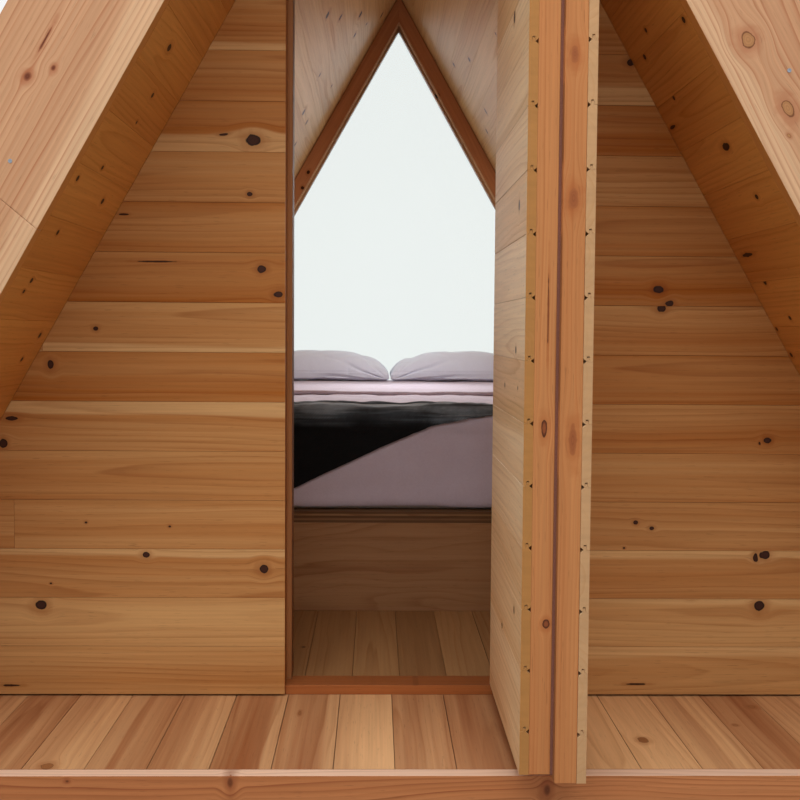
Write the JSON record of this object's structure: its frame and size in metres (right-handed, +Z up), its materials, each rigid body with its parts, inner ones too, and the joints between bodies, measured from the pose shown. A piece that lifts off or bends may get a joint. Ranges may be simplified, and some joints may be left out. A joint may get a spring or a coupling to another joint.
{
  "type": "a-frame cabin",
  "caption": "Small timber A-frame sleeping cabin on a raised platform, with a recessed porch, a rebated swinging door, a glazed rear gable and a built-in bed.",
  "frame": {"origin": "on the ground under the middle of the doorway, in the plane of the front wall's outer face", "axes": "+X to the right as seen from the porch, +Y from the porch into the cabin, +Z up"},
  "size_m": [4.041, 3.987, 3.6892],
  "materials": {
    "ground_timber": "rough sawn",
    "rim_board": "planed",
    "deck_boards": "planed, mixed tones",
    "floor_boards": "planed",
    "sill_timber": "oiled",
    "lining_boards": "planed, clear",
    "core_timber": "sawn",
    "roof_boards": "oiled",
    "barge_boards": "planed fir",
    "wall_boards": "planed, clear",
    "door_timber": "planed fir",
    "door_boards": "planed, clear",
    "window_timber": "stained brown",
    "bead_timber": "planed",
    "plywood": "sanded",
    "membrane": "dark felt",
    "hinge_steel": "satin",
    "glazing": "clear double glazing",
    "mattress_cloth": "woven ticking",
    "cover_cloth": "matt lilac pink linen",
    "pillow_cloth": "pale pink linen",
    "throw_wool": "charcoal wool"
  },
  "bodies": {
    "cabin": {"base_beams": "ground_timber", "floor_joists": "ground_timber", "side_rims": "ground_timber", "rear_rim": "ground_timber", "subfloor": "ground_timber", "front_rim": "rim_board", "porch_deck": "deck_boards", "cabin_floor": "floor_boards", "door_sill": "sill_timber", "roof_lining_left": "lining_boards", "roof_lining_right": "lining_boards", "front_lining": "lining_boards", "roof_core_left": "core_timber", "roof_core_right": "core_timber", "front_core_left": "core_timber", "front_core_right": "core_timber", "front_core_top": "core_timber", "roof_cladding_left": "roof_boards", "roof_cladding_right": "roof_boards", "ridge_cap": "roof_boards", "barge_front_left": "barge_boards", "barge_front_right": "barge_boards", "barge_rear_left": "barge_boards", "barge_rear_right": "barge_boards", "front_cladding_left": "wall_boards", "front_cladding_right": "wall_boards", "front_cladding_top": "wall_boards", "door_post_left": "door_timber", "door_post_right": "door_timber", "door_head": "door_timber", "window_stile_left": "window_timber", "window_stile_right": "window_timber", "window_bottom_rail": "window_timber", "glazing_beads": "bead_timber", "bed_front_panel": "plywood", "bed_top_board": "plywood", "frame_hinge_plates": "hinge_steel", "window_glass": "glazing", "mattress": "mattress_cloth", "bed_cover": "cover_cloth", "pillows": "pillow_cloth", "throw": "throw_wool"},
    "door": {"door_outer_core": "door_timber", "door_inner_core": "door_timber", "door_outer_boards": "door_boards", "door_inner_boards": "door_boards", "door_membrane": "membrane", "door_hinge_plates": "hinge_steel"}
  },
  "joints": [
    {"name": "door_swing", "type": "hinge", "parent": "cabin", "child": "door", "pos_m": [0.35, -0.007, 0.4], "axis": [0, 0, 1], "range_deg": [-90, 0]}
  ]
}
